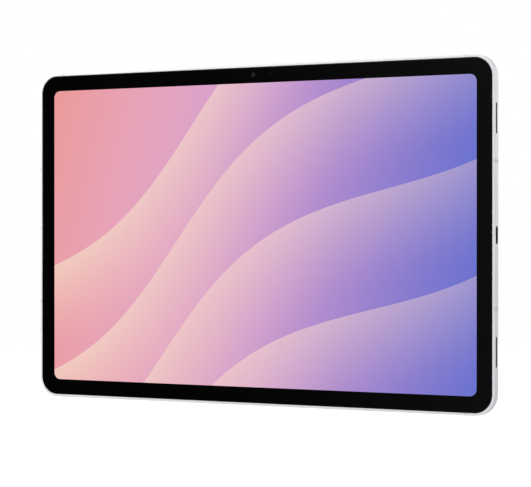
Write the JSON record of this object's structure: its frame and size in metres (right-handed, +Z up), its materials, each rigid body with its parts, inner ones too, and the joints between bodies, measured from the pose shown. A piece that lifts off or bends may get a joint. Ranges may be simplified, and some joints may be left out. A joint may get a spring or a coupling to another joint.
{
  "type": "tablet computer",
  "caption": "Thin aluminium tablet computer with a black-bordered glass front, edge keys, side port, speaker slots, card tray and rear camera.",
  "frame": {"origin": "centre of the flat back face", "axes": "+X along the long side, to the right as seen facing the screen; +Y straight out of the back; +Z up, towards the long edge with the keys. The screen faces -Y and the tablet stands upright."},
  "size_m": [0.2538, 0.0067, 0.1657],
  "materials": {
    "shell": "fine bead-blasted and anodised, satin",
    "camera_trim": "turned, with a polished edge",
    "band": "satin, flush with the metal",
    "front_glass": "clear cover sheet, printed black on the back round the screen",
    "display": "lit colour display under the cover sheet",
    "lens": "coated, dark",
    "diffuser": "ribbed lens over the flash",
    "grille": "etched mesh, black coated",
    "sheet_steel": "pressed and plated",
    "gold": "gold plated",
    "dark_plastic": "fine moulded",
    "adhesive": "foam tape",
    "board": "solder mask",
    "flex": "polyimide film",
    "battery_foil": "laminated pouch foil"
  },
  "bodies": {
    "chassis": {"rear_housing": "shell", "cover_glass": "front_glass", "band_right_upper": "band", "band_right_lower": "band", "band_left_upper": "band", "band_left_lower": "band", "band_top_left": "band", "band_top_right": "band", "band_bottom_left": "band", "band_bottom_right": "band", "port_shell": "sheet_steel", "grille_right_upper": "grille", "grille_right_lower": "grille", "grille_left_upper": "grille", "grille_left_lower": "grille", "rear_camera_ring": "camera_trim", "rear_camera_glass": "lens", "flash_lens": "diffuser", "contact_block": "dark_plastic", "contact_pin_1": "gold", "contact_pin_2": "gold", "contact_pin_3": "gold", "display_gasket": "adhesive", "display_panel": "display", "digitizer_sheet": "flex", "display_flex": "flex", "key_flex": "flex", "volume_up_switch": "sheet_steel", "volume_down_switch": "sheet_steel", "power_switch": "sheet_steel", "microphone": "sheet_steel", "card_reader": "sheet_steel", "port_tongue": "dark_plastic", "speaker_right_upper": "dark_plastic", "speaker_right_lower": "dark_plastic", "speaker_left_upper": "dark_plastic", "speaker_left_lower": "dark_plastic", "rear_camera_module": "dark_plastic", "front_camera": "dark_plastic", "light_sensor": "dark_plastic", "battery_cell_left": "battery_foil", "battery_cell_right": "battery_foil", "battery_board": "board", "main_board": "board", "sub_board": "board", "processor_shield": "sheet_steel", "power_shield": "sheet_steel", "radio_shield": "sheet_steel", "interconnect_flex": "flex", "board_screw_1": "sheet_steel", "board_screw_2": "sheet_steel", "board_screw_3": "sheet_steel", "board_screw_4": "sheet_steel", "board_screw_5": "sheet_steel", "board_screw_6": "sheet_steel"},
    "volume_key": {"volume_key": "shell"},
    "power_key": {"power_key": "shell"},
    "card_tray": {"card_tray": "shell"}
  },
  "joints": [
    {"name": "volume_key_rock", "type": "hinge", "parent": "chassis", "child": "volume_key", "pos_m": [-0.0706, -0.00305, 0.0792], "axis": [0, 1, 0], "range_deg": [-1, 1], "stiffness_Nm_per_rad": 0.6},
    {"name": "power_key_press", "type": "slide", "parent": "chassis", "child": "power_key", "axis": [0, 0, -1], "range_m": [0, 0.00025], "stiffness_N_per_m": 3000},
    {"name": "card_tray_slide", "type": "slide", "parent": "chassis", "child": "card_tray", "axis": [0, 0, 1], "range_m": [0, 0.02]}
  ]
}
